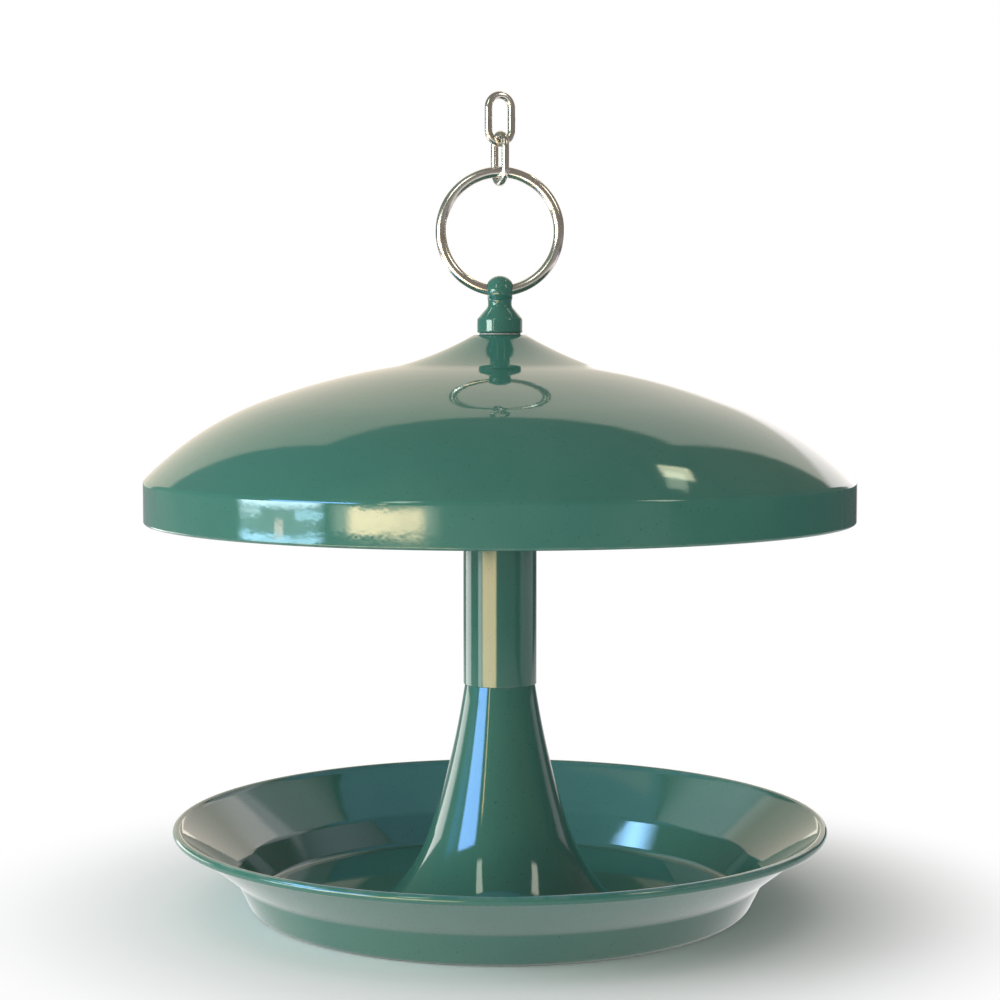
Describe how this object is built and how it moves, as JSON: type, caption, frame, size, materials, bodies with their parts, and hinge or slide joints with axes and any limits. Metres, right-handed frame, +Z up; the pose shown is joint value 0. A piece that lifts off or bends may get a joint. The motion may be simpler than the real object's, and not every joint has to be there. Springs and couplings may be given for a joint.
{
  "type": "bird feeder",
  "caption": "Hanging tray bird feeder: glossy green spun-metal dome roof over a flared seed tray, joined by a tube on a trumpet foot, with a finial, ring and chain links.",
  "frame": {"origin": "centre of the tray's flat underside", "axes": "+Z up along the column, front towards -Y, the hanging ring lies in the XZ plane"},
  "size_m": [0.26, 0.26, 0.2983],
  "materials": {
    "green_enamel": "high-gloss bluish green enamel",
    "bright_steel": "bright nickel-plated wire",
    "plated_steel": "zinc-plated steel",
    "seal_rubber": "matt pale grey rubber"
  },
  "bodies": {
    "stand": {"tray": "green_enamel", "pedestal": "green_enamel", "column_tube": "green_enamel", "column_cap": "plated_steel", "roof": "green_enamel", "tie_rod": "plated_steel", "base_nut": "plated_steel", "base_spring_washer": "plated_steel", "base_washer": "plated_steel", "roof_seal": "seal_rubber"},
    "finial": {"finial": "green_enamel"},
    "ring": {"hanging_ring": "bright_steel"},
    "lower_link": {"chain_link_lower": "bright_steel"},
    "upper_link": {"chain_link_upper": "bright_steel"}
  },
  "joints": [
    {"name": "finial_turn", "type": "hinge", "parent": "stand", "child": "finial", "pos_m": [0, 0, 0.2105], "axis": [0, 0, 1], "continuous": true},
    {"name": "ring_swing", "type": "hinge", "parent": "finial", "child": "ring", "pos_m": [0, 0, 0.2259], "axis": [1, 0, 0], "range_deg": [-85, 85]},
    {"name": "lower_link_swing", "type": "hinge", "parent": "ring", "child": "lower_link", "pos_m": [0, 0, 0.2691], "axis": [1, 0, 0], "range_deg": [-70, 70]},
    {"name": "upper_link_swing", "type": "hinge", "parent": "lower_link", "child": "upper_link", "pos_m": [0, 0, 0.2827], "axis": [-0.4226, 0.9063, 0], "range_deg": [-70, 70]}
  ]
}
